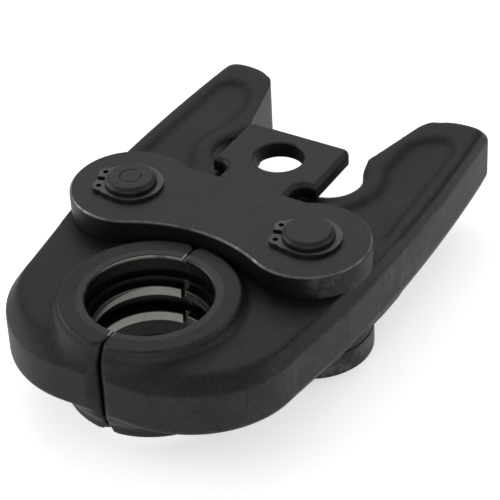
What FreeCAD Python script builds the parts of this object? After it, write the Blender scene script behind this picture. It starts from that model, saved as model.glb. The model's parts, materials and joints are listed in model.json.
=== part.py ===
"""Press fitting tool jaw: two forged arms that swing on pins between two side plates.

The press contour is at the front (-Y), the roller tails at the rear (+Y), and the jaw hangs in its tool
by one bolt through the tabs of both side plates. The origin is on that bolt's axis, half way up the jaw.
Millimetres throughout; +X is the jaw's right-hand arm.
"""
import FreeCAD, Part
import math
import os
import Sketcher

V = FreeCAD.Vector

SIZES = {
    # Layout
    "pin_spacing": 62.0,
    "bolt_to_pins": 36.8,
    "bore_to_pins": 39.6,
    "split_gap": 0.3,
    # Pins and their retaining rings
    "pin_diameter": 16.0,
    "pin_stand_out": 3.6,
    "pin_bevel": 1.0,
    "pin_play_in_arm": 0.05,
    "pin_play_in_plate": 0.02,
    "ring_groove_depth": 0.45,
    "ring_thickness": 1.2,
    "ring_play": 0.06,
    "ring_band_widest": 2.4,
    "ring_band_shift": 0.5,
    "lug_radius": 2.5,
    "lug_hole_diameter": 1.7,
    "lug_hole_shift": 0.5,
    "lug_circle_radius": 9.4,
    "lug_spread_angle": 43.5,
    "lug_web_radius": 8.1,
    "lug_web_shift": 3.0,
    "ring_gap": 2.0,
    "ring_turn": 15.5,
    "centre_mark_radius": 3.3,
    "centre_mark_depth": 0.25,
    # Side plates
    "plate_thickness": 8.0,
    "plate_play": 0.15,
    "plate_end_radius": 19.0,
    "waist_to_pins": 11.5,
    "rear_edge_to_pins": 16.5,
    "plate_bevel": 0.6,
    "tab_step": 2.6,
    "tab_width": 36.4,
    "tab_front_reach": 9.2,
    "tab_rear_reach": 14.1,
    "tab_corner_radius": 2.5,
    "tab_edge_round": 1.9,
    "tab_inner_round": 1.0,
    "neck_width": 24.0,
    "neck_fillet": 3.5,
    "bolt_hole_diameter": 16.0,
    "bolt_hole_bevel": 0.4,
    # Forged arms, heights from the middle plane
    "arm_thickness": 22.0,
    "shoulder_height": 8.2,
    "band_height": 6.5,
    # Forged arms in plan
    "arm_side": 46.8,
    "nose_radius": 34.0,
    "nose_reach": 30.8,
    "hip_side": 50.1,
    "hip_to_pins": 11.0,
    "flank_side": 50.9,
    "flank_crown_radius": 650.0,
    "tail_side": 48.3,
    "tail_length": 90.7,
    "tail_corner_radius": 4.5,
    "tail_round_radius": 17.0,
    "cam_side": 21.95,
    "cam_start": 56.5,
    "cam_angle": 13.5,
    "bay_x": 14.9,
    "bay_to_pins": 42.3,
    "bay_radius": 10.4,
    "cam_toe_radius": 12.0,
    "hub_side": 12.5,
    "hub_corner_radius": 4.0,
    "hub_front": 4.0,
    "throat_x": 6.0,
    "throat_to_pins": 7.5,
    "heel_to_pins": 10.6,
    # How far the drafted shoulders stand in from the parting band
    "draft_side": 2.7,
    "draft_tail": 1.4,
    "draft_nose": 7.2,
    "draft_rear": 3.7,
    # Raised ring round the press bore
    "boss_height": 4.1,
    "boss_depth": 5.8,
    "boss_top_radius": 26.9,
    "boss_base_radius": 29.3,
    "boss_draft": 0.2,
    "boss_bevel": 0.5,
    "boss_flare_height": 3.0,
    "boss_flare_radius": 3.6,
    "plate_clearance": 0.4,
    "split_notch_front": 27.7,
    "split_notch_rear": 24.6,
    "notch_depth": 6.0,
    # Press contour, which stands a little below the middle plane
    "contour_drop": 1.9,
    "land_radius": 17.6,
    "land_width": 3.1,
    "land_spacing": 9.6,
    "groove_radius": 21.0,
    "land_shoulder_radius": 19.4,
    "land_shoulder_width": 2.6,
    "land_relief": 0.9,
    "lip_radius": 18.9,
    "lip_width": 1.4,
    "lip_bevel": 0.5,
    # Forged pocket in each tail
    "pocket_depth": 2.1,
    "pocket_draft": 38.0,
    "pocket_front_radius": 22.0,
    "pocket_side_rim": 4.9,
    "pocket_lean": 1.6,
    "pocket_rim": 6.3,
    "pocket_bay_rim": 6.2,
    "pocket_rear": 13.3,
    "pocket_corner_radius": 3.6,
    "pocket_end_radius": 6.2,
    # Closing spring between the arms and the post that carries it
    "post_to_pins": 3.0,
    "post_diameter": 7.0,
    "post_end_diameter": 5.0,
    "post_seat_depth": 3.0,
    "post_seat_play": 0.02,
    "spring_wire": 2.2,
    "spring_wire_sides": 12,
    "spring_coils": 4.0,
    "spring_pitch": 2.35,
    "spring_play_on_post": 0.5,
    "spring_leg_length": 21.0,
    "spring_leg_gap": 0.1,
}

document = FreeCAD.newDocument("PressJaw")
sheet = document.addObject("Spreadsheet::Sheet", "Sizes")
for row, (alias, value) in enumerate(SIZES.items(), start=1):
    sheet.set(f"A{row}", alias)
    sheet.set(f"B{row}", str(value))
    sheet.setAlias(f"B{row}", alias)
document.recompute()


def size(formula):
    """The value of a formula whose words are the sheet's aliases."""
    return float(sheet.evalExpression(formula))


def bound(formula):
    """The same formula as another object has to write it, with each alias looked up in the sheet."""
    words = []
    word = ""
    for character in formula + " ":
        if character.isalnum() or character == "_":
            word += character
            continue
        words.append("Sizes." + word if word in SIZES else word)
        words.append(character)
        word = ""
    return "".join(words).strip()


def origin_plane(body, role):
    return [feature for feature in body.Origin.OriginFeatures if feature.Role == role][0]


def new_body(name, x="0", y="0", z="0"):
    """A body whose own origin stands at x, y, z in the jaw."""
    body = document.addObject("PartDesign::Body", name)
    body.Label = name
    for axis, formula in zip("xyz", (x, y, z)):
        body.setExpression(f"Placement.Base.{axis}", bound(formula))
    return body


def new_sketch(body, name, role="XY_Plane", lift="0"):
    """A sketch on one of the body's own origin planes, lifted along that plane's normal."""
    sketch = body.newObject("Sketcher::SketchObject", name)
    sketch.AttachmentSupport = (origin_plane(body, role), [""])
    sketch.MapMode = "FlatFace"
    sketch.setExpression("AttachmentOffset.Base.z", bound(lift))
    return sketch


def pin_vertex(sketch, geometry, end, x, y, name):
    """Holds one end of an edge at the point x, y."""
    for kind, formula in (("DistanceX", x), ("DistanceY", y)):
        index = sketch.addConstraint(Sketcher.Constraint(kind, geometry, end, size(formula)))
        sketch.renameConstraint(index, f"{name}_{kind[-1].lower()}")
        sketch.setExpression(f"Constraints.{name}_{kind[-1].lower()}", bound(formula))


def arc_between(start, end, radius, turn):
    """The short arc from start to end; turn is 1 where it bears left and -1 where it bears right."""
    chord = end - start
    half = chord.Length / 2
    rise = math.sqrt(max(radius * radius - half * half, 0.0))
    left = V(-chord.y, chord.x, 0).normalize()
    middle = (start + end) / 2
    centre = middle + left * rise * turn
    return Part.Arc(start, centre - left * radius * turn, end)


def draw_profile(sketch, corners, arcs=None):
    """A closed outline through the corners; arcs maps the corner where an arc starts to (radius, turn)."""
    arcs = arcs or {}
    points = [V(size(x), size(y), 0) for x, y in corners]
    count = len(points)
    first = sketch.GeometryCount
    edges = []
    for i, start in enumerate(points):
        end = points[(i + 1) % count]
        if i in arcs:
            radius, turn = arcs[i]
            edges.append(arc_between(start, end, size(radius), turn))
        else:
            edges.append(Part.LineSegment(start, end))
    sketch.addGeometry(edges, False)
    # A sketch stores each arc anticlockwise, so one that bears right starts where its outline ends.
    starts = [2 if i in arcs and arcs[i][1] < 0 else 1 for i in range(count)]
    for i in range(count):
        following = (i + 1) % count
        joint = Sketcher.Constraint("Coincident", first + i, 3 - starts[i], first + following, starts[following])
        sketch.addConstraint(joint)
    for i, (x, y) in enumerate(corners):
        pin_vertex(sketch, first + i, starts[i], x, y, f"corner{first + i}")
    for i, (radius, _) in arcs.items():
        index = sketch.addConstraint(Sketcher.Constraint("Radius", first + i, size(radius)))
        sketch.renameConstraint(index, f"radius{first + i}")
        sketch.setExpression(f"Constraints.radius{first + i}", bound(radius))


def draw_circle(sketch, x, y, radius):
    index = sketch.addGeometry(Part.Circle(V(size(x), size(y), 0), V(0, 0, 1), size(radius)), False)
    pin_vertex(sketch, index, 3, x, y, f"centre{index}")
    constraint = sketch.addConstraint(Sketcher.Constraint("Radius", index, size(radius)))
    sketch.renameConstraint(constraint, f"radius{index}")
    sketch.setExpression(f"Constraints.radius{index}", bound(radius))


def pad(body, name, sketch, length, midplane=False, reversed_side=False):
    feature = body.newObject("PartDesign::Pad", name)
    feature.Profile = sketch
    feature.Midplane = midplane
    feature.Reversed = reversed_side
    feature.setExpression("Length", bound(length))
    return feature


def pocket(body, name, sketch, length, midplane=False, reversed_side=False, taper=None):
    feature = body.newObject("PartDesign::Pocket", name)
    feature.Profile = sketch
    feature.Midplane = midplane
    feature.Reversed = reversed_side
    feature.setExpression("Length", bound(length))
    if taper:
        feature.setExpression("TaperAngle", bound(taper))
    return feature


def turned(body, name, sketch, kind="PartDesign::Revolution"):
    """A full turn of the sketch about its own upright axis."""
    feature = body.newObject(kind, name)
    feature.Profile = sketch
    feature.ReferenceAxis = (sketch, ["V_Axis"])
    feature.Angle = 360.0
    return feature


def edges_where(shape, test):
    """The names of the edges whose middle point and edge pass the test."""
    names = []
    for number, edge in enumerate(shape.Edges, start=1):
        middle = edge.valueAt((edge.FirstParameter + edge.LastParameter) / 2)
        if test(middle, edge):
            names.append(f"Edge{number}")
    return names


def dress(body, name, kind, base, test, property_name, formula):
    """A fillet or chamfer on the edges of base that pass the test."""
    document.recompute()
    feature = body.newObject(kind, name)
    feature.Base = (base, edges_where(base.Shape, test))
    feature.setExpression(property_name, bound(formula))
    return feature


def mirrored_part(name, source, normal):
    """The same piece reflected through the jaw's middle plane with that normal."""
    mirror = document.addObject("Part::Mirroring", name)
    mirror.Label = name
    mirror.Source = source
    mirror.Base = V(0, 0, 0)
    mirror.Normal = normal
    return mirror


PIN_X = "pin_spacing / 2"
PIN_Y = "-bolt_to_pins"
BORE_Y = "-bolt_to_pins - bore_to_pins"
ARM_FACE = "arm_thickness / 2"
PLATE_INNER = "arm_thickness / 2 + plate_play"
PLATE_OUTER = "arm_thickness / 2 + plate_play + plate_thickness"


# Side plates. Each is one milled piece: a waisted link over the two pins and a stepped T-shaped tab behind it.
def side_plate(name):
    """The upper plate, drawn from its inner face, with the body's origin on the tool bolt's axis."""
    body = new_body(name, z=PLATE_INNER)
    # The waist is an arc that touches both rounded ends, with its crown at the waist's depth.
    reach = "(pow(pin_spacing / 2; 2) + pow(waist_to_pins; 2) - pow(plate_end_radius; 2))"
    waist_radius = f"({reach} / (2 * (plate_end_radius - waist_to_pins)))"
    share = f"(plate_end_radius / ({waist_radius} + plate_end_radius))"
    waist_x = f"pin_spacing / 2 * (1 - {share})"
    waist_y = f"-bolt_to_pins - ({waist_radius} + waist_to_pins) * {share}"
    rear_x = "pin_spacing / 2 - sqrt(pow(plate_end_radius; 2) - pow(rear_edge_to_pins; 2))"
    rear_y = "-bolt_to_pins + rear_edge_to_pins"
    outer_x = "pin_spacing / 2 + plate_end_radius"
    front_y = "-bolt_to_pins - plate_end_radius"
    link = new_sketch(body, "LinkOutline")
    corners = [
        (waist_x, waist_y), (PIN_X, front_y), (outer_x, PIN_Y), (rear_x, rear_y),
        (f"-({rear_x})", rear_y), (f"-({outer_x})", PIN_Y), (f"-({PIN_X})", front_y), (f"-({waist_x})", waist_y),
    ]
    end = ("plate_end_radius", 1)
    draw_profile(link, corners, {0: end, 1: end, 2: end, 4: end, 5: end, 6: end, 7: (waist_radius, -1)})
    pad(body, "Link", link, "plate_thickness")

    tab = new_sketch(body, "TabOutline")
    root = "rear_edge_to_pins - bolt_to_pins - 4"
    half_neck = "neck_width / 2"
    half_head = "tab_width / 2"
    fillet_x = "neck_width / 2 + neck_fillet"
    fillet_y = "-tab_front_reach - neck_fillet"
    rear_inner = "tab_width / 2 - tab_corner_radius"
    rear_lower = "tab_rear_reach - tab_corner_radius"
    corners = [
        (half_neck, root), (half_neck, fillet_y), (fillet_x, "-tab_front_reach"), (half_head, "-tab_front_reach"),
        (half_head, rear_lower), (rear_inner, "tab_rear_reach"),
        (f"-({rear_inner})", "tab_rear_reach"), (f"-({half_head})", rear_lower),
        (f"-({half_head})", "-tab_front_reach"), (f"-({fillet_x})", "-tab_front_reach"),
        (f"-({half_neck})", fillet_y), (f"-({half_neck})", root),
    ]
    corner = ("tab_corner_radius", 1)
    draw_profile(tab, corners, {1: ("neck_fillet", -1), 4: corner, 6: corner, 9: ("neck_fillet", -1)})
    head = pad(body, "Tab", tab, "plate_thickness - tab_step")

    holes = new_sketch(body, "Holes")
    pin_hole = "pin_diameter / 2 + pin_play_in_plate"
    draw_circle(holes, PIN_X, PIN_Y, pin_hole)
    draw_circle(holes, f"-({PIN_X})", PIN_Y, pin_hole)
    draw_circle(holes, "0", "0", "bolt_hole_diameter / 2")
    drilled = pocket(body, "Bores", holes, "plate_thickness", reversed_side=True)

    seat = new_sketch(body, "PostSeat")
    draw_circle(seat, "0", "post_to_pins - bolt_to_pins", "post_end_diameter / 2 + post_seat_play")
    blind = pocket(body, "PostHole", seat, "post_seat_depth", reversed_side=True)

    face = size("plate_thickness")
    tab_face = size("plate_thickness - tab_step")
    pin_y = size(PIN_Y)
    head_front = size("-tab_front_reach")
    rounded = dress(
        body, "TabEdgeRound", "PartDesign::Fillet", blind,
        lambda at, edge: abs(at.z - tab_face) < 1e-4 and at.y > head_front - 0.01 and math.hypot(at.x, at.y) > size("bolt_hole_diameter / 2") + 1,
        "Radius", "tab_edge_round",
    )
    bevelled = dress(
        body, "LinkBevel", "PartDesign::Chamfer", rounded,
        lambda at, edge: abs(at.z - face) < 1e-4 and min(math.hypot(abs(at.x) - size(PIN_X), at.y - pin_y), 99) > size("pin_diameter / 2") + 1,
        "Size", "plate_bevel",
    )
    inner_round = dress(
        body, "TabInnerRound", "PartDesign::Fillet", bevelled,
        lambda at, edge: abs(at.z) < 1e-4 and at.y > head_front - 0.01 and math.hypot(at.x, at.y) > size("bolt_hole_diameter / 2") + 1,
        "Radius", "tab_inner_round",
    )
    dress(
        body, "BoltHoleBevel", "PartDesign::Chamfer", inner_round,
        lambda at, edge: abs(at.z - tab_face) < 1e-4 and math.hypot(at.x, at.y) < size("bolt_hole_diameter / 2") + 0.1,
        "Size", "bolt_hole_bevel",
    )
    return body


# Forged arms. Each is drawn from the press bore's axis, where x = 0 is the split between the arms.
def arm_outline(body, name, height, share=None):
    """The arm in plan at one height; share says how much of each draft its outer edge stands in there."""
    sketch = new_sketch(body, name, lift=height)
    side, tail, nose, rear = ("0", "0", "0", "0")
    if share:
        side, tail = (f"draft_side * {share[0]}", f"draft_tail * {share[0]}")
        nose, rear = (f"draft_nose * {share[1]}", f"draft_rear * {share[1]}")
    gap = "split_gap / 2"
    front_y = f"-nose_reach + {nose}"
    tail_x = f"tail_side - {tail}"
    rear_y = f"bore_to_pins + tail_length - {rear}"
    # The rear corners tighten towards the faces, where the outline stands in.
    corner = f"(tail_corner_radius - 0.4 * {rear})"
    rounding = f"(tail_round_radius - 1.6 * {rear})"
    # The cam face leans outwards to the rear, and runs into the tail's rounded inner corner.
    cam_end_x = f"(cam_side + (tail_length - cam_start - {rear}) * tan(cam_angle))"
    corner_reach = f"{rounding} * tan((90 - cam_angle) / 2)"
    toe_reach = "2.4"
    bay_y = "bore_to_pins + bay_to_pins"
    nose_arc = f"sqrt((pow(nose_radius - {side}; 2) + pow(nose_radius - {nose}; 2)) / 2)"
    corners = [
        (gap, front_y),
        ("arm_side - nose_radius", front_y),
        (f"arm_side - {side}", "nose_radius - nose_reach"),
        (f"hip_side - {side}", "bore_to_pins - hip_to_pins"),
        (f"flank_side - {tail}", "bore_to_pins + hip_to_pins"),
        (tail_x, f"{rear_y} - {corner}"),
        (f"{tail_x} - {corner}", rear_y),
        (f"{cam_end_x} + {corner_reach}", rear_y),
        (f"{cam_end_x} - {corner_reach} * sin(cam_angle)", f"{rear_y} - {corner_reach} * cos(cam_angle)"),
        (f"cam_side + {toe_reach} * sin(cam_angle)", f"bore_to_pins + cam_start + {toe_reach} * cos(cam_angle)"),
        ("bay_x + bay_radius * cos(40)", f"{bay_y} + bay_radius * sin(40)"),
        ("bay_x + bay_radius * cos(-85)", f"{bay_y} + bay_radius * sin(-85)"),
        ("hub_side", f"{bay_y} - bay_radius - 2.5"),
        ("hub_side", "bore_to_pins + hub_front"),
        ("throat_x", "bore_to_pins - throat_to_pins"),
        (gap, "bore_to_pins - heel_to_pins"),
    ]
    arcs = {
        1: (nose_arc, 1),
        4: ("flank_crown_radius", 1),
        5: (corner, 1),
        7: (rounding, 1),
        9: ("cam_toe_radius", 1),
        10: ("bay_radius", -1),
        11: ("hub_corner_radius", 1),
        13: ("throat_to_pins * 3", -1),
    }
    draw_profile(sketch, corners, arcs)
    return sketch


def forged_arm(name):
    body = new_body(name, y=BORE_Y)
    # The blank is forged in two dies: a trimmed band round the parting line and drafted shoulders above and below.
    levels = []
    for sign, side in (("-", "Lower"), ("", "Upper")):
        face = arm_outline(body, side + "Face", f"{sign}({ARM_FACE})", ("1", "1"))
        slope = arm_outline(body, side + "Shoulder", f"{sign}shoulder_height", ("0.45", "0.25"))
        band = arm_outline(body, side + "Band", f"{sign}band_height")
        levels += [face, slope, band] if side == "Lower" else [band, slope, face]
    blank = body.newObject("PartDesign::AdditiveLoft", "Forging")
    blank.Profile = levels[0]
    blank.Sections = levels[1:]
    blank.Ruled = True

    # The raised ring round the press bore, turned on the bore's axis.
    ring = new_sketch(body, "BossProfile", "XZ_Plane")
    top = f"({ARM_FACE} + boss_height)"
    foot = f"({ARM_FACE} + boss_depth)"
    flare_top = f"{ARM_FACE} + boss_flare_height"
    corners = [
        ("2", f"-{foot}"), ("boss_top_radius - boss_bevel", f"-{foot}"),
        ("boss_top_radius", f"-{foot} + boss_bevel"), ("boss_top_radius + boss_draft", f"-({flare_top})"),
        ("boss_base_radius", f"-({ARM_FACE})"), ("boss_base_radius + boss_draft", "-shoulder_height"),
        ("boss_base_radius + boss_draft", "shoulder_height"), ("boss_base_radius", ARM_FACE),
        ("boss_top_radius + boss_draft", flare_top), ("boss_top_radius", f"{top} - boss_bevel"),
        ("boss_top_radius - boss_bevel", top), ("2", top),
    ]
    draw_profile(ring, corners, {3: ("boss_flare_radius", -1), 7: ("boss_flare_radius", -1)})
    turned(body, "Boss", ring)

    # The press contour: two lands between relieved grooves.
    contour = new_sketch(body, "ContourProfile", "XZ_Plane")
    inner = "land_spacing / 2 - land_width / 2"
    outer = "land_spacing / 2 + land_width / 2"
    shoulder = f"{outer} + land_shoulder_width"
    upper = contour_half(inner, outer, shoulder, top, "-")
    lower = contour_half(inner, outer, shoulder, foot, "+")
    draw_profile(contour, [(x, f"-({y})") for x, y in reversed(lower)] + upper)
    turned(body, "PressContour", contour, "PartDesign::Groove")

    # The arms part on x = 0, and the corners of the split are notched at the front and behind the boss.
    split = new_sketch(body, "SplitCut")
    far = "nose_reach + 20"
    gap = "split_gap / 2"
    front_tip = "-split_notch_front"
    front_wide = "split_gap / 2 + notch_depth"
    corners = [
        (gap, front_tip), (front_wide, "-split_notch_front - notch_depth"),
        (front_wide, f"-({far})"), (f"-({far})", f"-({far})"), (f"-({far})", far),
        ("split_gap / 2 + 3.2", far), ("split_gap / 2 + 3.2", "split_notch_rear + 3.2"),
        (gap, "split_notch_rear"),
    ]
    draw_profile(split, corners)
    pocket(body, "Split", split, f"4 * {foot}", midplane=True)

    # The foot of the ring is milled away where the side plates come down on the arm.
    for side, sign, reversed_side in (("Upper", "", True), ("Lower", "-", False)):
        seat = new_sketch(body, side + "PlateSeatOutline", lift=f"{sign}({ARM_FACE})")
        draw_plate_seat(seat)
        pocket(body, side + "PlateSeat", seat, f"{foot}", reversed_side=reversed_side)

    # The lands stop short of the split.
    relief = new_sketch(body, "LandRelief", lift="-contour_drop")
    draw_profile(relief, [("-1", "-land_shoulder_radius"), ("land_relief", "-land_shoulder_radius"),
                          ("land_relief", "land_shoulder_radius"), ("-1", "land_shoulder_radius")])
    pocket(body, "LandEnds", relief, f"2 * ({shoulder})", midplane=True)

    pin_hole = new_sketch(body, "PinHole")
    draw_circle(pin_hole, PIN_X, "bore_to_pins", "pin_diameter / 2 + pin_play_in_arm")
    pocket(body, "PinBore", pin_hole, "2 * arm_thickness", midplane=True)

    # A shallow pocket is forged into both sides of the tail.
    for side, sign, reversed_side in (("Upper", "", False), ("Lower", "-", True)):
        sketch = new_sketch(body, side + "TailPocketOutline", lift=f"{sign}({ARM_FACE})")
        draw_tail_pocket(sketch)
        pocket(body, side + "TailPocket", sketch, "pocket_depth", reversed_side=reversed_side, taper="-pocket_draft")
    return body


def draw_plate_seat(sketch):
    """The front outline of the side plates and their clearance, open towards the tail."""
    radius = "(plate_end_radius + plate_clearance)"
    reach = "(pow(pin_spacing / 2; 2) + pow(waist_to_pins; 2) - pow(plate_end_radius; 2))"
    waist_radius = f"({reach} / (2 * (plate_end_radius - waist_to_pins)))"
    share = f"({radius} / ({waist_radius} + plate_end_radius))"
    waist_x = f"pin_spacing / 2 * (1 - {share})"
    waist_y = f"bore_to_pins - ({waist_radius} + waist_to_pins) * {share}"
    outer_x = f"pin_spacing / 2 + {radius}"
    rear = "bore_to_pins + plate_end_radius"
    corners = [
        (waist_x, waist_y), (PIN_X, f"bore_to_pins - {radius}"), (outer_x, "bore_to_pins"),
        (outer_x, rear), (f"-({waist_x})", rear), (f"-({waist_x})", waist_y),
    ]
    end = (radius, 1)
    draw_profile(sketch, corners, {0: end, 1: end, 5: (f"({waist_radius} - plate_clearance)", -1)})


def contour_half(inner, outer, shoulder, end, drop):
    """One half of the press contour, from the groove between the lands out to the boss's end face."""
    shift = f" {drop} contour_drop"
    lip = f"{end} - lip_width"
    return [
        ("groove_radius", f"{inner} - 1{shift}"),
        ("land_radius", f"{inner}{shift}"), ("land_radius", f"{outer}{shift}"),
        ("land_shoulder_radius", f"{outer}{shift}"), ("land_shoulder_radius", f"{shoulder}{shift}"),
        ("groove_radius", f"{shoulder}{shift}"), ("groove_radius", f"{lip} - 1"),
        ("lip_radius", lip), ("lip_radius", f"{end} - lip_bevel"),
        ("lip_radius + lip_bevel + 0.1", f"{end} + 0.1"), ("0", f"{end} + 0.1"),
    ]


def draw_tail_pocket(sketch):
    bay_y = "bore_to_pins + bay_to_pins"
    rim_radius = "(bay_radius + pocket_bay_rim)"
    pin_arc = "pocket_front_radius"
    rear = "bore_to_pins + tail_length - pocket_rear"
    corner_x = "(flank_side - pocket_side_rim - pocket_corner_radius)"
    corner_y = f"(bore_to_pins + sqrt(pow({pin_arc}; 2) - pow({corner_x} - pin_spacing / 2; 2)))"
    corners = [
        (f"bay_x + {rim_radius} * cos(-48)", f"{bay_y} + {rim_radius} * sin(-48)"),
        (f"pin_spacing / 2 + {pin_arc} * cos(100)", f"bore_to_pins + {pin_arc} * sin(100)"),
        (corner_x, corner_y),
        ("flank_side - pocket_side_rim", f"{corner_y} + pocket_corner_radius * 1.2"),
        ("flank_side - pocket_side_rim - pocket_lean", f"{rear} - pocket_end_radius"),
        ("flank_side - pocket_side_rim - pocket_lean - pocket_end_radius * 1.42", f"{rear} - pocket_end_radius * 0.09"),
        (f"cam_side + pocket_rim", f"{rear} - pocket_end_radius * 2"),
        (f"bay_x + {rim_radius} * cos(36)", f"{bay_y} + {rim_radius} * sin(36)"),
    ]
    arcs = {
        1: (pin_arc, -1),
        2: ("pocket_corner_radius", 1),
        4: ("pocket_end_radius", 1),
        5: ("pocket_end_radius * 2.1", 1),
        7: (rim_radius, -1),
    }
    draw_profile(sketch, corners, arcs)


# Pins: turned studs with a groove for a retaining ring near each end.
def pivot_pin(name, side, centre_mark=False):
    body = new_body(name, x=f"{side}({PIN_X})", y=PIN_Y)
    profile = new_sketch(body, "Profile", "XZ_Plane")
    tip = f"{PLATE_OUTER} + pin_stand_out"
    radius = "pin_diameter / 2"
    groove_floor = "pin_diameter / 2 - ring_groove_depth"
    groove_foot = PLATE_OUTER
    groove_top = f"{PLATE_OUTER} + ring_thickness + 2 * ring_play"
    half = [
        (radius, groove_foot), (groove_floor, groove_foot), (groove_floor, groove_top), (radius, groove_top),
        (radius, f"{tip} - pin_bevel"), (f"{radius} - pin_bevel * 1.3", tip),
    ]
    outline = [("0", f"-({tip})")] + [(x, f"-({y})") for x, y in reversed(half)] + half + [("0", tip)]
    draw_profile(profile, outline)
    turned(body, "Stud", profile)
    if centre_mark:
        mark = new_sketch(body, "CentreMarkProfile", "XZ_Plane")
        mark_half = "centre_mark_depth"
        corners = [
            (f"centre_mark_radius - {mark_half}", tip), ("centre_mark_radius", f"{tip} - centre_mark_depth"),
            (f"centre_mark_radius + {mark_half}", tip),
            (f"centre_mark_radius + {mark_half}", f"{tip} + 1"), (f"centre_mark_radius - {mark_half}", f"{tip} + 1"),
        ]
        draw_profile(mark, corners)
        turned(body, "CentreMark", mark, "PartDesign::Groove")
    return body


# Retaining rings: stamped spring-steel rings with two eyes for the pliers.
def retaining_ring(name, side):
    body = new_body(name, x=f"{side}({PIN_X})", y=PIN_Y, z=f"{PLATE_OUTER} + ring_play")
    blank = new_sketch(body, "Blank")
    seat = "(pin_diameter / 2 - ring_groove_depth + ring_play)"
    shift = "ring_band_shift"
    outer = f"{seat} + ring_band_widest - ring_band_shift"
    turn = "ring_turn"
    draw_circle(blank, f"{shift} * cos({turn})", f"{shift} * sin({turn})", outer)
    pad(body, "Band", blank, "ring_thickness")
    lugs = new_sketch(body, "Lugs")
    for way in ("+", "-"):
        angle = f"(180 + ring_turn {way} lug_spread_angle / 2)"
        draw_circle(lugs, f"lug_circle_radius * cos({angle})", f"lug_circle_radius * sin({angle})", "lug_radius")
    pad(body, "Eyes", lugs, "ring_thickness")
    web = new_sketch(body, "Web")
    draw_circle(web, f"-lug_web_shift * cos({turn})", f"-lug_web_shift * sin({turn})", "lug_web_radius")
    pad(body, "LugWeb", web, "ring_thickness")
    opening = new_sketch(body, "Opening")
    draw_circle(opening, "0", "0", seat)
    pocket(body, "Seat", opening, "ring_thickness", reversed_side=True)
    eye_holes = new_sketch(body, "EyeHoles")
    for way in ("+", "-"):
        angle = f"(180 + ring_turn {way} lug_spread_angle / 2)"
        hole = "(lug_circle_radius + lug_hole_shift)"
        draw_circle(eye_holes, f"{hole} * cos({angle})", f"{hole} * sin({angle})", "lug_hole_diameter / 2")
    pocket(body, "EyeBores", eye_holes, "ring_thickness", reversed_side=True)
    gap = new_sketch(body, "Gap")
    half = "ring_gap / 2"
    reach = "lug_circle_radius + lug_radius + 2"

    def turned_point(along, across):
        """A point along the direction of the ring's gap and across it, in the jaw's own axes."""
        return (f"-({along}) * cos({turn}) + ({across}) * sin({turn})", f"-({along}) * sin({turn}) - ({across}) * cos({turn})")

    corners = [turned_point("2", f"-{half}"), turned_point("2", half),
               turned_point(reach, half), turned_point(reach, f"-{half}")]
    draw_profile(gap, corners)
    pocket(body, "Slot", gap, "ring_thickness", reversed_side=True)
    return body


# The spring's post is a turned pin held in blind holes of the two side plates.
def spring_post(name):
    body = new_body(name, y="post_to_pins - bolt_to_pins")
    profile = new_sketch(body, "Profile", "XZ_Plane")
    shoulder = f"{PLATE_INNER} - 0.1"
    tip = f"{PLATE_INNER} + post_seat_depth - 0.2"
    half = [("post_diameter / 2", shoulder), ("post_end_diameter / 2", shoulder), ("post_end_diameter / 2", tip)]
    outline = [("0", f"-({tip})")] + [(x, f"-({y})") for x, y in reversed(half)] + half + [("0", tip)]
    draw_profile(profile, outline)
    turned(body, "Stud", profile)
    return body


# The closing spring is wound wire; its two straight legs bear on the arms and hold the press contour shut.
def wire_section(centre, across, along):
    """The wire's outline at a point, square to its run: many small flats keep the hidden coil light."""
    sides = int(size("spring_wire_sides"))
    other = V(along).normalize().cross(across)
    corners = []
    for index in range(sides):
        angle = 2 * math.pi * index / sides
        corners.append(centre + (across * math.cos(angle) + other * math.sin(angle)) * size("spring_wire / 2"))
    return Part.makePolygon([*corners, corners[0]])


def closing_spring(name):
    wire = size("spring_wire")
    pitch = size("spring_pitch")
    radius = size("post_diameter / 2 + spring_play_on_post + spring_wire / 2")
    leg = size("spring_leg_length")
    # Each leg leans out until the edge of its tip nearly meets the arm's hub wall.
    reach = radius + wire / 2
    lean = math.asin(size("hub_side - spring_leg_gap") / math.hypot(reach, leg)) - math.atan2(reach, leg)
    turn = 2 * math.pi * (size("spring_coils") - 0.5) - 2 * lean
    height = pitch * turn / (2 * math.pi)
    helix = Part.makeHelix(pitch, height, radius)
    helix.translate(V(0, 0, -height / 2))
    start = V(radius, 0, -height / 2)
    end = V(radius * math.cos(turn), radius * math.sin(turn), height / 2)
    slope = V(0, radius, pitch / (2 * math.pi))
    coil = Part.Wire(helix.Edges).makePipeShell([wire_section(start, V(1, 0, 0), slope)], True, True)
    lower_leg = Part.makeCylinder(wire / 2, leg, start, V(0, -1, 0))
    upper_leg = Part.makeCylinder(wire / 2, leg, end, V(-math.sin(turn), math.cos(turn), 0))
    feature = document.addObject("Part::Feature", name)
    feature.Label = name
    feature.Shape = coil.fuse([lower_leg, upper_leg]).removeSplitter()
    way = FreeCAD.Rotation(V(0, 0, 1), 180 + math.degrees(lean))
    feature.Placement = FreeCAD.Placement(V(0, size("post_to_pins - bolt_to_pins"), 0), way)
    return feature


upper_side_plate = side_plate("upper_side_plate")
right_arm = forged_arm("right_arm")
right_pin = pivot_pin("right_pin", "")
left_pin = pivot_pin("left_pin", "-", centre_mark=True)
upper_right_ring = retaining_ring("upper_right_ring", "")
upper_left_ring = retaining_ring("upper_left_ring", "-")
post = spring_post("spring_post")
document.recompute()
parts = [
    upper_side_plate,
    mirrored_part("lower_side_plate", upper_side_plate, V(0, 0, 1)),
    mirrored_part("left_arm", right_arm, V(1, 0, 0)),
    right_arm,
    left_pin,
    right_pin,
    upper_left_ring,
    upper_right_ring,
    mirrored_part("lower_left_ring", upper_left_ring, V(0, 0, 1)),
    mirrored_part("lower_right_ring", upper_right_ring, V(0, 0, 1)),
    post,
    closing_spring("closing_spring"),
]
document.recompute()

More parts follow.
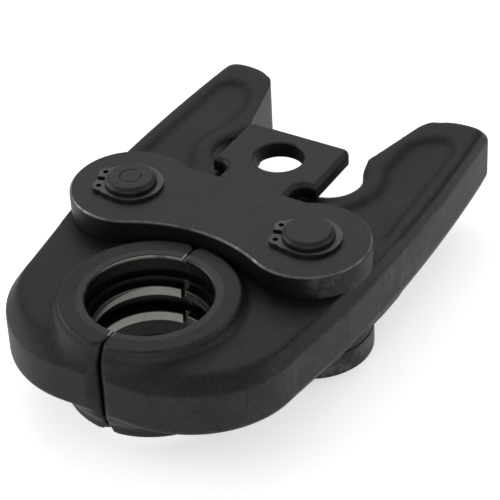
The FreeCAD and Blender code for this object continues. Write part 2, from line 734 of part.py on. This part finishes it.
for item in document.Objects:
    if "Invalid" in item.State or "Error" in item.State:
        raise RuntimeError(f"{item.Name} could not be built: {item.State}")
for part in parts:
    if part.Shape.isNull() or not part.Shape.isValid():
        raise RuntimeError(f"{part.Label} has no valid shape")

os.makedirs("parts", exist_ok=True)
for part in parts:
    part.Shape.exportStep(f"parts/{part.Label}.step")
    print(part.Label, len(part.Shape.Solids), round(part.Shape.Volume, 1))
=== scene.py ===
import json
import math

import bpy
from mathutils import Matrix, Vector

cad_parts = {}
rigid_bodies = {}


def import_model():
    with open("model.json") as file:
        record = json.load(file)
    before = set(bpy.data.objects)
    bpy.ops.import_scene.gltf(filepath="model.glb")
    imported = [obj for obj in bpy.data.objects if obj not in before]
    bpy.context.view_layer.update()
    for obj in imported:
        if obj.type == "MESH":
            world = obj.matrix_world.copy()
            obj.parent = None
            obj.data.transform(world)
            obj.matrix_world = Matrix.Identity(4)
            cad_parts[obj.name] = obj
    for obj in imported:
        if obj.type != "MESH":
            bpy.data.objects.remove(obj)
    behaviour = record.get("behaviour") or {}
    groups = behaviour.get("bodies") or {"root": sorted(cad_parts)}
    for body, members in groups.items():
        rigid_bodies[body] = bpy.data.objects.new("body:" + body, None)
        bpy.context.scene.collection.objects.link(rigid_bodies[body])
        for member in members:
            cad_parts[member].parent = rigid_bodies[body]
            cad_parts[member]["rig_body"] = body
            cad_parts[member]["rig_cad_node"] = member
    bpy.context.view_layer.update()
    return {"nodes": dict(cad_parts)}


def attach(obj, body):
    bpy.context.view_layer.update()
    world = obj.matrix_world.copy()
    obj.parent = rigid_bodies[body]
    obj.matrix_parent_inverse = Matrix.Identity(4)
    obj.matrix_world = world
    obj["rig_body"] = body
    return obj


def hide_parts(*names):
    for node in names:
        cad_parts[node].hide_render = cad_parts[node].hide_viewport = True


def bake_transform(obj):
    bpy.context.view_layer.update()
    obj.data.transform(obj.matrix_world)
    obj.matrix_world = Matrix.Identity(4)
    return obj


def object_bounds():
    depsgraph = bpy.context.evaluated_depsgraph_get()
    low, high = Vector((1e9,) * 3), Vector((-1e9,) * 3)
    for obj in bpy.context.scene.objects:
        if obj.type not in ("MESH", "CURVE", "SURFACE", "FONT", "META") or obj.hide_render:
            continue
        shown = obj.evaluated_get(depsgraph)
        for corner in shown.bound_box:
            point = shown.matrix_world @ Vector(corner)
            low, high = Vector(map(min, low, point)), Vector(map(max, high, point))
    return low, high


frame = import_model()


# Forged arms: two mirrored drop forgings of alloy steel that swing on the pins. Each one is forged
# with soft edges and a sunk tail, ground at the split, turned inside to the stepped press contour,
# and blackened all over before the lands are polished bright again.
MM = 0.001
BORE_Y, PIN_X, PIN_Y = -76.4, 31.0, -36.8
BORE = Vector((0, BORE_Y * MM, 0))
PIN = Vector((PIN_X * MM, PIN_Y * MM, 0))
SPLIT = 0.15 * MM
BOSS_TOP, BOSS_BOTTOM = 15.1 * MM, -16.8 * MM
PLUG_RADIUS = 23.5 * MM
HEEL_RADIUS, HEEL_DEPTH, HEEL_HEIGHT = 18.9 * MM, 6.0 * MM, -8.05 * MM
KNEE_RADIUS, KNEE_DEPTH, KNEE = 2.6 * MM, 20.0 * MM, (12.3 * MM, -7.6 * MM, 0)
FORGING_GRID, SHARE_KEPT = 0.45 * MM, 0.85


def alone(piece):
    bpy.ops.object.select_all(action="DESELECT")
    piece.select_set(True)
    bpy.context.view_layer.objects.active = piece


def modify(piece, kind, **settings):
    alone(piece)
    change = piece.modifiers.new(kind.lower(), kind)
    for name, value in settings.items():
        setattr(change, name, value)
    bpy.ops.object.modifier_apply(modifier=change.name)


# The arm is merged and its half bore is filled, to be turned sharp again after the forging is
# softened. A heel is added under the hub, and a knee where the throat runs into the bay.
arm = frame["nodes"]["right_arm"].copy()
arm.data = arm.data.copy()
arm.name = "right_forging"
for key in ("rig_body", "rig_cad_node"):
    del arm[key]
arm.parent = None
bpy.context.collection.objects.link(arm)
alone(arm)
bpy.ops.object.mode_set(mode="EDIT")
bpy.ops.mesh.select_all(action="SELECT")
bpy.ops.mesh.remove_doubles(threshold=1e-6)
bpy.ops.mesh.select_all(action="DESELECT")
bpy.ops.mesh.primitive_cylinder_add(
    vertices=96, radius=PLUG_RADIUS, depth=BOSS_TOP - BOSS_BOTTOM,
    location=BORE + Vector((0, 0, (BOSS_TOP + BOSS_BOTTOM) / 2)),
)
bpy.ops.mesh.bisect(plane_co=(SPLIT, 0, 0), plane_no=(1, 0, 0), use_fill=True, clear_inner=True)
bpy.ops.mesh.select_all(action="DESELECT")
bpy.ops.mesh.primitive_cylinder_add(
    vertices=96, radius=HEEL_RADIUS, depth=HEEL_DEPTH, location=PIN + Vector((0, 0, HEEL_HEIGHT)),
)
bpy.ops.mesh.primitive_cylinder_add(vertices=32, radius=KNEE_RADIUS, depth=KNEE_DEPTH, location=KNEE)
bpy.ops.object.mode_set(mode="OBJECT")
modify(arm, "REMESH", mode="VOXEL", voxel_size=FORGING_GRID)

# Wedges opened with a file where the split comes out at the feet of both bosses.
WEDGES = (
    (Vector((0, -103.4, 15.6)), Vector((0, -107.9, 6.0))),
    (Vector((0, -103.4, -17.3)), Vector((0, -107.9, -6.0))),
)
WEDGE_TIP, WEDGE_MOUTH = 0.5 * MM, 1.7 * MM
for mouth, tip in WEDGES:
    bpy.ops.object.select_all(action="DESELECT")
    run = (mouth - tip) * MM
    bpy.ops.mesh.primitive_cone_add(vertices=24, radius1=WEDGE_TIP, radius2=WEDGE_MOUTH, depth=run.length)
    wedge = bpy.context.object
    turn = run.to_track_quat("Z", "X").to_matrix().to_4x4()
    wedge.data.transform(Matrix.Translation((mouth + tip) / 2 * MM) @ turn)
    modify(arm, "BOOLEAN", operation="DIFFERENCE", solver="EXACT", object=wedge)
    bpy.data.objects.remove(wedge)

# Soft forms: each function says how much a point, in millimetres, gives way to smoothing. Its
# facing is 1 on level faces and 0 on upright walls.
CAM_X, CAM_Y, CAM_SLOPE = 21.95, 19.7, 0.24
BAY_X, BAY_Y, BAY_RADIUS = 14.9, 5.5, 10.4


def ramp(value, start, end):
    """0 before start, 1 past end, and a soft step between."""
    share = min(1.0, max(0.0, (value - start) / (end - start)))
    return share * share * (3 - 2 * share)


def from_bore(p):
    return math.hypot(p.x, p.y - BORE_Y)


def from_cam(p):
    return abs(p.x - CAM_X - max(0, p.y - CAM_Y) * CAM_SLOPE)


def throat(p):
    """The corner between throat and bay, behind the plates' notches."""
    return ramp(-1 - p.y, 0, 3) * ramp(15 - p.x, 0, 2) * ramp(20 + p.y, 0, 2)


def soft_edge(p, facing):
    """All edges of the forging are broken, but the hub, the boss's rims and the cam stay crisp."""
    hub = ramp(math.hypot(p.x - PIN_X, p.y - PIN_Y), 19, 21)
    rim = 1 - 0.7 * ramp(abs(p.z), 12.5, 14) * ramp(31 - from_bore(p), 0, 2)
    cam = 1 - 0.6 * ramp(2.5 - from_cam(p), 0, 1.5) * ramp(p.y, 14, 18)
    return max(0.15, hub * rim * cam)


def soft_form(p, facing):
    """The sunk tail, the shoulders over the trimmed band and the foot of the boss run softly into each other."""
    above = ramp(abs(p.z), 6.9, 8.6)
    cam = 1 - ramp(3.5 - from_cam(p), 0, 2) * ramp(p.y, 14, 18)
    boss = 1 - ramp(30.5 - from_bore(p), 0, 2.5) * ramp(abs(p.z), 10.5, 13.0)
    clear = max(ramp(p.y, -16, -12), ramp(-52 - p.y, 0, 3)) * ramp(p.x, 0.6, 3.0)
    return above * cam * boss * clear * (1 - throat(p))


def soft_split(p, facing):
    """At the front the split opens to a groove, widest at the foot of the boss."""
    return ramp(3.5 - p.x, 0, 2.5) * ramp(-101 - p.y, 0, 1.5) * (0.3 + 0.7 * ramp(abs(p.z), 7, 10))


def soft_bay(p, facing):
    """The bays behind the pins are rolled over widely where the tail's rim runs into them."""
    near = ramp(4.5 - abs(math.hypot(p.x - BAY_X, p.y - BAY_Y) - BAY_RADIUS), 0, 2.5)
    return near * ramp(abs(p.z), 5, 7) * ramp(p.y, -12, -6) * (1 - throat(p))


def soft_nose(p, facing):
    """In front the boss runs out into the nose in one long hollow."""
    hollow = ramp(from_bore(p), 28.0, 30.0) * ramp(abs(p.z), 6.8, 8.0)
    return hollow * ramp(-80 - p.y, 0, 8) * ramp(p.x, 1.5, 5)


def soft_pocket(p, facing):
    """The tail's pocket is only a shallow dish, with hardly a line round its floor."""
    return ramp(p.y, -18, -12) * ramp(facing, 0.55, 0.80) * ramp(abs(p.z), 7.5, 8.5)


def weigh(piece, name, weight):
    group = piece.vertex_groups.new(name=name)
    for vertex in piece.data.vertices:
        share = weight(vertex.co / MM, abs(vertex.normal.z))
        if share > 0.001:
            group.add([vertex.index], share, "REPLACE")
    return group.name


SOFTENING = (
    ("edge", soft_edge, 8), ("form", soft_form, 70), ("front_split", soft_split, 50),
    ("bay", soft_bay, 70), ("nose", soft_nose, 90), ("pocket", soft_pocket, 95),
)
for name, weight, passes in SOFTENING:
    modify(arm, "SMOOTH", factor=0.5, iterations=passes, vertex_group=weigh(arm, name, weight))
modify(arm, "DECIMATE", ratio=SHARE_KEPT)

# The press contour is turned: two lands with shoulders and grooves between a lip above and below.
LAND, LIP, SHOULDER, GROOVE = 17.6, 18.9, 19.4, 21.0
PRESS_PROFILE = (
    (-18.3, LIP + 2), (-16.3, LIP), (-15.4, LIP), (-14.9, SHOULDER), (-8.25, SHOULDER),
    (-8.25, LAND), (-5.15, LAND), (-4.15, GROOVE), (0.35, GROOVE),
    (1.35, LAND), (4.45, LAND), (4.45, SHOULDER), (7.05, SHOULDER),
    (7.05, GROOVE), (12.7, GROOVE), (13.7, LIP), (14.6, LIP), (16.6, LIP + 2),
)


def turned(name, profile, middle, corners):
    """A body turned about the upright line through middle, from heights and radii in mm."""
    bpy.ops.object.select_all(action="DESELECT")
    height, reach = profile[0]
    bpy.ops.mesh.primitive_circle_add(vertices=corners, radius=reach * MM, fill_type="NGON")
    body = bpy.context.object
    body.name = name
    body.data.transform(Matrix.Translation((0, 0, height * MM)))
    bpy.ops.object.mode_set(mode="EDIT")
    for next_height, next_reach in profile[1:]:
        bpy.ops.mesh.extrude_region_move(TRANSFORM_OT_translate={"value": (0, 0, (next_height - height) * MM)})
        share = next_reach / reach
        bpy.ops.transform.resize(value=(share, share, 1), center_override=(0, 0, next_height * MM))
        height, reach = next_height, next_reach
    bpy.ops.mesh.select_all(action="SELECT")
    bpy.ops.mesh.remove_doubles(threshold=1e-7)
    bpy.ops.mesh.normals_make_consistent(inside=False)
    bpy.ops.object.mode_set(mode="OBJECT")
    body.data.transform(Matrix.Translation(middle))
    return body


turning = turned("turning", PRESS_PROFILE, BORE, 160)
modify(arm, "BOOLEAN", operation="DIFFERENCE", solver="EXACT", object=turning)
bpy.data.objects.remove(turning)

# The lands stop short of the split, where a slot is milled down both halves.
SLOT_SIZE, SLOT_DROP, SLOT_ROUND = (1.8 * MM, 38.8 * MM, 17.9 * MM), 1.9 * MM, 0.5 * MM
bpy.ops.object.select_all(action="DESELECT")
bpy.ops.mesh.primitive_cube_add(size=1)
slot_cut = bpy.context.object
slot_cut.data.transform(Matrix.Diagonal((*SLOT_SIZE, 1)))
slot_cut.data.transform(Matrix.Translation(BORE + Vector((0, 0, -SLOT_DROP))))
modify(slot_cut, "BEVEL", width=SLOT_ROUND, segments=3, limit_method="ANGLE")
modify(arm, "BOOLEAN", operation="DIFFERENCE", solver="EXACT", object=slot_cut)
bpy.data.objects.remove(slot_cut)
arm.vertex_groups.clear()
alone(arm)
bpy.ops.object.shade_smooth_by_angle(angle=math.radians(20))

left = arm.copy()
left.data = arm.data.copy()
left.name = "left_forging"
bpy.context.collection.objects.link(left)
left.data.transform(Matrix.Diagonal((-1, 1, 1, 1)))
alone(left)
bpy.ops.object.mode_set(mode="EDIT")
bpy.ops.mesh.select_all(action="SELECT")
bpy.ops.mesh.flip_normals()
bpy.ops.object.mode_set(mode="OBJECT")


# The Mix node's colour sockets share their names with others, so they are told by number.
MIX_FIRST, MIX_SECOND, MIX_RESULT = 6, 7, 2


class Shade:
    """A socket of a finish. Arithmetic on it adds Math nodes, and node() adds any other node."""

    def __init__(self, tree, socket):
        self.tree, self.socket = tree, socket

    def node(self, kind, settings=None, sockets=None, output=0):
        made = self.tree.nodes.new("ShaderNode" + kind)
        for name, value in (settings or {}).items():
            setattr(made, name, value)
        for name, value in (sockets or {}).items():
            if isinstance(value, Shade):
                self.tree.links.new(value.socket, made.inputs[name])
            else:
                made.inputs[name].default_value = value
        return Shade(self.tree, made.outputs[output])

    def maths(self, operation, *values):
        return self.node("Math", {"operation": operation}, dict(enumerate(values)))

    def __add__(self, other):
        return self.maths("ADD", self, other)

    def __sub__(self, other):
        return self.maths("SUBTRACT", self, other)

    def __rsub__(self, other):
        return self.maths("SUBTRACT", other, self)

    def __mul__(self, other):
        return self.maths("MULTIPLY", self, other)

    def __pow__(self, other):
        return self.maths("POWER", self, other)

    def __abs__(self):
        return self.maths("ABSOLUTE", self)

    __radd__, __rmul__ = __add__, __mul__

    def most(self, other):
        return self.maths("MAXIMUM", self, other)

    def rise(self, start, end):
        """0 below start, 1 above end, and a soft step between."""
        return self.node("MapRange", {"interpolation_type": "SMOOTHSTEP"},
                         {"Value": self, "From Min": start, "From Max": end})

    def part(self, axis):
        return self.node("SeparateXYZ", {}, {"Vector": self}, axis)

    def noise(self, scale, detail, rough):
        return self.node("TexNoise", {}, {"Vector": self, "Scale": scale, "Detail": detail, "Roughness": rough})

    def stretched(self, *times):
        return self.node("VectorMath", {"operation": "MULTIPLY"}, {0: self, 1: times})

    def colours(self, share, first, second):
        """The first colour, turned towards the second by share."""
        ends = {"Factor": share, MIX_FIRST: first, MIX_SECOND: second}
        return self.node("Mix", {"data_type": "RGBA"}, ends, MIX_RESULT)

    def tint(self, share, other):
        return self.colours(share, self, other)

    def bump(self, height, strength, distance):
        return self.node("Bump", {}, {"Height": height, "Strength": strength, "Distance": distance})


def new_finish(name):
    """A material with its Object coordinates and its shader."""
    finish = bpy.data.materials.new(name)
    finish.use_nodes = True
    tree = finish.node_tree
    shader = tree.nodes["Principled BSDF"]
    return finish, Shade(tree, None).node("TexCoord", output="Object"), shader


def wear(shader, shade, name):
    shade.tree.links.new(shade.socket, shader.inputs[name])


def trimming(place, x, z, facing):
    """The band where the flash was trimmed off the flanks, and the ragged seam that it left."""
    upright = 1 - abs(facing).rise(0.15, 0.40)
    ragged = abs(z) + (place.noise(260, 4, 0.7) - 0.5) * 2.4 * MM
    flanks = x.rise(34 * MM, 47 * MM).most((0 - x).rise(38 * MM, 44 * MM) * 0.5)
    band = upright * (1 - ragged.rise(6.2 * MM, 6.9 * MM)) * flanks
    seam = upright * (1 - abs(ragged - 6.6 * MM).rise(0.2 * MM, 1.1 * MM))
    return band, seam * place.noise(170, 4, 0.7).rise(0.42, 0.60) * x.rise(20 * MM, 30 * MM)


def land_polish_and_light(place, y, z, radius, left_half):
    """The lands are polished bright on the left arm. On the right arm they are held dark as painted shade, and
    bright mostly as a painted highlight along their upper brinks.
    """
    land = 1 - radius.rise(17.85 * MM, 18.1 * MM)
    rubbed = place.noise(240, 3, 0.6).rise(0.45, 0.7)
    brink = z.rise(4.05 * MM, 4.2 * MM) + z.rise(-5.6 * MM, -5.4 * MM) * (1 - z.rise(-4.9 * MM, -4.7 * MM))
    # On the left a dull band runs under the upper land's brink and narrows towards the plates.
    slant = 1 - y.rise(BORE.y + 2 * MM, BORE.y + 17 * MM)
    dull_band = (z + slant * 1.3 * MM).rise(4.25 * MM, 4.4 * MM) * (1 - z.rise(4.2 * MM, 4.3 * MM))
    left_land = left_half * (1 - dull_band * 0.9) * 0.9
    # On the right arm the lands keep only a painted highlight at their brinks and a few rubbed spots; the rest
    # is painted shade.
    right_land = (1 - left_half) * (brink * 0.7 + rubbed * 0.2)
    return land * (left_land + right_land + 0.03)


FORGING_DARK, FORGING_WORN = (0.024, 0.024, 0.024, 1), (0.075, 0.075, 0.073, 1)
INSIDE_DARK, SPLIT_PAINTED_SHADE, POLISHED_AND_HIGHLIGHT = (0.020, 0.020, 0.020, 1), (0.004, 0.004, 0.004, 1), (0.36, 0.37, 0.33, 1)


def black_forging():
    finish, place, shader = new_finish("black_forging")
    x, y, z = (place.part(axis) for axis in range(3))
    radius = (x * x + (y - BORE.y) * (y - BORE.y)) ** 0.5
    facing = place.node("TexCoord", output="Normal").part(2)
    corner = place.node("NewGeometry", output="Pointiness")

    cloud = place.noise(45, 4, 0.6)
    grain = place.noise(1100, 4, 0.65)
    nick = place.noise(520, 2, 0.7).rise(0.70, 0.77)
    edge = corner.rise(0.512, 0.55) * place.noise(150, 4, 0.65).rise(0.42, 0.66)
    shade = place.colours(
        cloud.rise(0.35, 0.75) * 0.16 + grain.rise(0.3, 0.7) * 0.20 + edge * 0.30 + nick * 0.40,
        FORGING_DARK, FORGING_WORN,
    )

    trimmed, seam = trimming(place, x, z, facing)
    flakes = place.stretched(1, 1, 0.4).noise(480, 5, 0.7).rise(0.44, 0.62)
    patches = place.noise(110, 3, 0.6).rise(0.36, 0.56)
    scraped = 1 - abs(y + 11 * MM).rise(6 * MM, 24 * MM)
    flaked = flakes * patches * (0.32 + scraped * 0.45) + flakes * 0.12 + 0.08
    shade = shade.tint((trimmed * flaked).most(seam * 0.45), FORGING_WORN)

    inside = 1 - radius.rise(21.3 * MM, 21.8 * MM)
    in_front = radius.rise(23 * MM, 24 * MM) * (1 - y.rise(-95 * MM, -90 * MM))
    # In front the split is painted nearly black along its line, as painted shade in the gap.
    groove = (1 - abs(x).rise(0.25 * MM, 1.0 * MM)) * in_front
    shade = shade.tint(inside * 0.15, INSIDE_DARK)
    shade = shade.tint(groove * 0.85, SPLIT_PAINTED_SHADE)

    left_half = 1 - x.rise(-0.2 * MM, 0.2 * MM)
    polished = land_polish_and_light(place, y, z, radius, left_half)
    # A thin painted highlight runs along the lip of the left arm's bore.
    lip = (1 - radius.rise(19.15 * MM, 19.25 * MM)) * z.rise(13.95 * MM, 14.15 * MM)
    lip = lip * left_half * y.rise(BORE.y - 2 * MM, BORE.y + 14 * MM) * place.noise(120, 2, 0.5).rise(0.3, 0.5)
    ground = (1 - abs(x).rise(0.5 * MM, 1.0 * MM)) * inside * corner.rise(0.50, 0.53)
    bright = polished.most(lip).most(ground * 0.5)
    shade = shade.tint(bright * (cloud.rise(0.3, 0.7) * 0.25 + 0.75), POLISHED_AND_HIGHLIGHT)

    wear(shader, shade, "Base Color")
    shader.inputs["Metallic"].default_value = 1.0
    rough = 0.47 + cloud * 0.10 + grain * 0.05 - inside * 0.14 - bright * 0.08 + trimmed * flakes * 0.06
    wear(shader, rough, "Roughness")
    height = cloud * 0.5 + grain * 0.30 + trimmed * flakes * patches * 0.7 - nick * 0.4
    wear(shader, place.bump(height, 0.16, 0.4 * MM), "Normal")
    return finish


forging_black = black_forging()
for piece, side in ((arm, "right"), (left, "left")):
    piece.data.materials.clear()
    piece.data.materials.append(forging_black)
    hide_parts(side + "_arm")
    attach(piece, side + "_jaw")


# Side plates: two flame-cut and ground steel links, blackened, with the square tab that the press
# machine's fork takes. They carry the pins and hold the arms between them.
PLATE_DARK, PLATE_WORN = (0.030, 0.030, 0.030, 1), (0.120, 0.120, 0.115, 1)
WALL_PAINTED_SHADE, RUBBED_STEEL_AND_HIGHLIGHT = (0.016, 0.016, 0.016, 1), (0.18, 0.18, 0.17, 1)


def black_plate():
    finish, place, shader = new_finish("black_plate")
    x, y, z = (place.part(axis) for axis in range(3))
    facing = abs(place.node("TexCoord", output="Normal").part(2))
    cloud = place.noise(60, 4, 0.6)
    grain = place.noise(1500, 3, 0.6)
    nick = place.noise(600, 2, 0.7).rise(0.74, 0.78)
    shade = place.colours(
        cloud.rise(0.35, 0.75) * 0.10 + grain.rise(0.35, 0.7) * 0.13 + nick * 0.35,
        PLATE_DARK, PLATE_WORN,
    )

    neck = y.rise(-20.6 * MM, -19.6 * MM) * (1 - abs(x).rise(20 * MM, 21 * MM))
    bevel = facing.rise(0.30, 0.45) * (1 - facing.rise(0.90, 0.96)) * (1 - neck)
    # The bevels are rubbed to bare steel in patches, and brightened towards the plates' outer faces as a painted
    # highlight.
    highlight_brow = abs(z).rise(18.65 * MM, 18.85 * MM) * 0.85 + 0.15
    rubbed = bevel * (place.noise(260, 4, 0.65).rise(0.36, 0.62) * 0.60 + 0.35) * highlight_brow
    wall = 1 - facing.rise(0.1, 0.3)
    patch = wall * place.noise(130, 5, 0.7).rise(0.48, 0.60) * abs(x).rise(36 * MM, 44 * MM)
    # The upright walls are darkened as painted shade.
    shade = shade.tint(wall * 0.4, WALL_PAINTED_SHADE)
    shade = shade.tint(rubbed.most(patch * 0.25), RUBBED_STEEL_AND_HIGHLIGHT)

    wear(shader, shade, "Base Color")
    wear(shader, cloud * 0.12 + grain * 0.05 + 0.44 - rubbed * 0.08, "Roughness")
    shader.inputs["Metallic"].default_value = 1.0
    wear(shader, place.bump(cloud * 0.4 + grain * 0.3 - nick * 0.4, 0.10, 0.3 * MM), "Normal")
    return finish


def dress_node(name, finish):
    node = frame["nodes"][name]
    node.data.materials.clear()
    node.data.materials.append(finish)


plate_black = black_plate()
for name in ("upper_side_plate", "lower_side_plate"):
    dress_node(name, plate_black)


# Pivot pins: hardened and ground steel, blackened, with turned bevels on both ends and a centre
# mark left by the lathe on the left one. They slide through plates and arms from below.
PIN_TIP = (
    (19.15, 8.0), (19.15, 7.55), (20.47, 7.55), (20.47, 8.0), (21.25, 8.0), (21.49, 7.975), (21.7, 7.9),
    (21.89, 7.78), (22.055, 7.604), (22.6, 6.9), (22.71, 6.69), (22.75, 6.45),
)
CENTRE_MARK = ((22.75, 3.55), (22.5, 3.3), (22.75, 3.05))
PIN_DARK, PIN_WORN_AND_HIGHLIGHT = (0.029, 0.030, 0.032, 1), (0.070, 0.071, 0.075, 1)


def black_pin():
    finish, place, shader = new_finish("black_pin")
    cloud = place.noise(90, 4, 0.6)
    grain = place.noise(2000, 3, 0.6)
    facing = abs(place.node("TexCoord", output="Normal").part(2))
    bevel = facing.rise(0.30, 0.45) * (1 - facing.rise(0.90, 0.96))
    # The bevels are lightened a little as a painted highlight.
    shade = place.colours(cloud.rise(0.4, 0.7) * 0.15 + grain * 0.08 + bevel * 0.15, PIN_DARK, PIN_WORN_AND_HIGHLIGHT)
    wear(shader, shade, "Base Color")
    wear(shader, cloud * 0.1 + 0.42, "Roughness")
    shader.inputs["Metallic"].default_value = 1.0
    wear(shader, place.bump(cloud * 0.5 + grain * 0.3, 0.06, 0.2 * MM), "Normal")
    return finish


pin_black = black_pin()
for side, way, mark in (("left", -1, CENTRE_MARK), ("right", 1, ())):
    profile = tuple((-height, reach) for height, reach in reversed(PIN_TIP)) + PIN_TIP + mark
    pin = turned(side + "_turned_pin", profile, Vector((way * PIN.x, PIN.y, 0)), 112)
    bpy.ops.object.shade_smooth_by_angle(angle=math.radians(32))
    modify(pin, "WEIGHTED_NORMAL", weight=100, keep_sharp=True)
    pin.data.materials.append(pin_black)
    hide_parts(side + "_pin")
    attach(pin, "side_plates")


# Retaining rings: stamped spring steel, phosphated, sprung into the pins' grooves with pliers
# through the two eyes of each ring.
RING_DARK, RING_WORN = (0.050, 0.050, 0.048, 1), (0.110, 0.110, 0.106, 1)


def ring_grey():
    finish, place, shader = new_finish("ring_grey")
    cloud = place.noise(220, 3, 0.6)
    grain = place.noise(1800, 3, 0.6)
    shade = place.colours(grain.rise(0.35, 0.7) * 0.3 + cloud.rise(0.4, 0.7) * 0.3, RING_DARK, RING_WORN)
    wear(shader, shade, "Base Color")
    wear(shader, grain * 0.1 + cloud * 0.06 + 0.38, "Roughness")
    shader.inputs["Metallic"].default_value = 1.0
    wear(shader, place.bump(grain, 0.05, 0.1 * MM), "Normal")
    return finish


ring_finish = ring_grey()
for name in ("upper_left_ring", "upper_right_ring", "lower_left_ring", "lower_right_ring"):
    dress_node(name, ring_finish)


# Closing spring: hard-drawn wire wound round a turned post that stands between the plates. Its two
# legs reach back and press the tails apart, which holds the press contour shut.
WIRE, COIL, LEG = 1.1 * MM, 5.1 * MM, 21.0 * MM
LEAN, RISE = math.radians(18.05), 7.99 * MM
TURN = 7 * math.pi - 2 * LEAN
POST = Vector((0, -33.8 * MM, 0))
COIL_STEPS, LEG_STEPS, TIP = 140, 14, 0.2 * MM
WIRE_DARK, WIRE_WORN = (0.050, 0.048, 0.045, 1), (0.16, 0.155, 0.145, 1)


def spring_wire():
    finish, place, shader = new_finish("spring_wire")
    drawn = place.noise(700, 3, 0.6)
    wear(shader, place.colours(drawn.rise(0.35, 0.7) * 0.5, WIRE_DARK, WIRE_WORN), "Base Color")
    wear(shader, drawn * 0.15 + 0.28, "Roughness")
    shader.inputs["Metallic"].default_value = 1.0
    wear(shader, place.bump(drawn, 0.05, 0.1 * MM), "Normal")
    return finish


def wire_start(name, where, turn):
    """The wire's outline, standing across its run."""
    bpy.ops.object.select_all(action="DESELECT")
    bpy.ops.mesh.primitive_circle_add(vertices=20, radius=WIRE)
    wire = bpy.context.object
    wire.name = name
    stand = Matrix.Rotation(turn, 4, "Z") @ Matrix.Rotation(math.radians(90), 4, "X")
    wire.data.transform(Matrix.Translation(where) @ stand)
    return wire


coil = wire_start("spring_coil", Vector((COIL, 0, -RISE / 2)), 0.0)
modify(coil, "SCREW", axis="Z", angle=TURN, screw_offset=RISE, steps=COIL_STEPS, render_steps=COIL_STEPS)
coil.data.transform(Matrix.Translation(POST) @ Matrix.Rotation(math.pi + LEAN, 4, "Z"))
wires, legs = [coil], []
for side, way in (("left", -1), ("right", 1)):
    foot = POST + Vector((way * COIL * math.cos(LEAN), -COIL * math.sin(LEAN), way * RISE / 2))
    run = Vector((way * math.sin(LEAN), math.cos(LEAN), 0))
    leg = wire_start(side + "_spring_leg", foot, -way * LEAN)
    alone(leg)
    bpy.ops.object.mode_set(mode="EDIT")
    bpy.ops.mesh.select_all(action="SELECT")
    for _ in range(LEG_STEPS):
        bpy.ops.mesh.extrude_region_move(TRANSFORM_OT_translate={"value": run * (LEG - TIP) / LEG_STEPS})
    bpy.ops.mesh.extrude_region_move(TRANSFORM_OT_translate={"value": run * TIP})
    bpy.ops.transform.resize(value=(0.8, 0.8, 0.8), center_override=foot + run * LEG)
    bpy.ops.object.mode_set(mode="OBJECT")
    wires.append(leg)
    legs.append((leg, side, foot, foot + run * LEG))
spring_steel = spring_wire()
for wire in wires:
    alone(wire)
    bpy.ops.object.mode_set(mode="EDIT")
    bpy.ops.mesh.select_mode(type="EDGE")
    bpy.ops.mesh.select_all(action="DESELECT")
    bpy.ops.mesh.select_non_manifold()
    bpy.ops.mesh.edge_face_add()
    bpy.ops.mesh.select_all(action="SELECT")
    bpy.ops.mesh.normals_make_consistent(inside=False)
    bpy.ops.object.mode_set(mode="OBJECT")
    bpy.ops.object.shade_smooth_by_angle(angle=math.radians(40))
    wire.data.materials.append(spring_steel)
    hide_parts("closing_spring")
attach(coil, "side_plates")
for leg, side, foot, tip in legs:
    side + "_jaw"
    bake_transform(leg)
dress_node("spring_post", pin_black)


# Studio: a plain white table and soft boxes, and the camera where the photograph was taken from.
TARGET = Vector((4.57, -27.3, 0)) * MM
AZIMUTH, ELEVATION, ROLL = (math.radians(angle) for angle in (31.73, 36.51, -2.97))
DISTANCE, SENSOR, LENS = 710.85, 36, 166.56
TABLE_SIZE, TABLE_GAP = 24, 0.02 * MM
SEEING_RAYS = ("Is Camera Ray", "Is Glossy Ray", "Is Transmission Ray")
SOFT_BOXES = (
    ("back_box", (-0.45, 0.75, 0.95), (1.3, 1.0), 5.8),
    ("left_box", (-1.0, -0.35, 0.35), (0.8, 0.6), 4.9),
    ("right_box", (1.0, 0.35, 0.4), (0.8, 0.6), 2.2),
    ("front_box", (0.5, -1.1, 0.5), (0.9, 0.5), 3.0),
)

away = math.cos(ELEVATION)
back = Vector((math.sin(AZIMUTH) * away, -math.cos(AZIMUTH) * away, math.sin(ELEVATION)))
level = Vector((math.cos(AZIMUTH), math.sin(AZIMUTH), 0))
upward = back.cross(level)
across = level * math.cos(ROLL) + upward * math.sin(ROLL)
above = upward * math.cos(ROLL) - level * math.sin(ROLL)
bpy.ops.object.camera_add()
camera = bpy.context.object
stand = Matrix((across, above, back)).transposed().to_4x4()
stand.translation = TARGET + back * DISTANCE * MM
camera.matrix_world = stand
camera.data.sensor_width = SENSOR
camera.data.lens = LENS
camera.data.clip_start, camera.data.clip_end = 0.05, 20
bpy.context.scene.camera = camera

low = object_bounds()[0]
bpy.ops.mesh.primitive_plane_add(size=TABLE_SIZE, location=(0, 0, low.z - TABLE_GAP))
table = bpy.context.object
table.name = "table_top"
finish, spot, shader = new_finish("white_table")
shader.inputs["Base Color"].default_value = (0.80, 0.80, 0.80, 1)
shader.inputs["Roughness"].default_value = 0.7
# The table's glow shows to the eye and in reflections, but casts no diffuse light.
direct, mirrored, through = (spot.node("LightPath", output=ray) for ray in SEEING_RAYS)
seen = direct.most(mirrored).most(through)
wear(shader, spot.colours(seen, (0, 0, 0, 1), (0.55, 0.55, 0.55, 1)), "Emission Color")
shader.inputs["Emission Strength"].default_value = 1.0
table.data.materials.append(finish)

world = bpy.data.worlds.new("studio")
bpy.context.scene.world = world
world.use_nodes = True
sky = world.node_tree.nodes["Background"]
sky.inputs["Color"].default_value = (1, 1, 1, 1)
sky.inputs["Strength"].default_value = 0.44

for name, where, size, power in SOFT_BOXES:
    bpy.ops.object.light_add(type="AREA", location=where)
    box = bpy.context.object
    box.name = name
    box.data.shape = "RECTANGLE"
    box.data.size, box.data.size_y = size
    box.data.energy = power
    box.rotation_euler = (Vector(where) - TARGET).to_track_quat("Z", "Y").to_euler()
bpy.context.scene.view_settings.view_transform = "Standard"
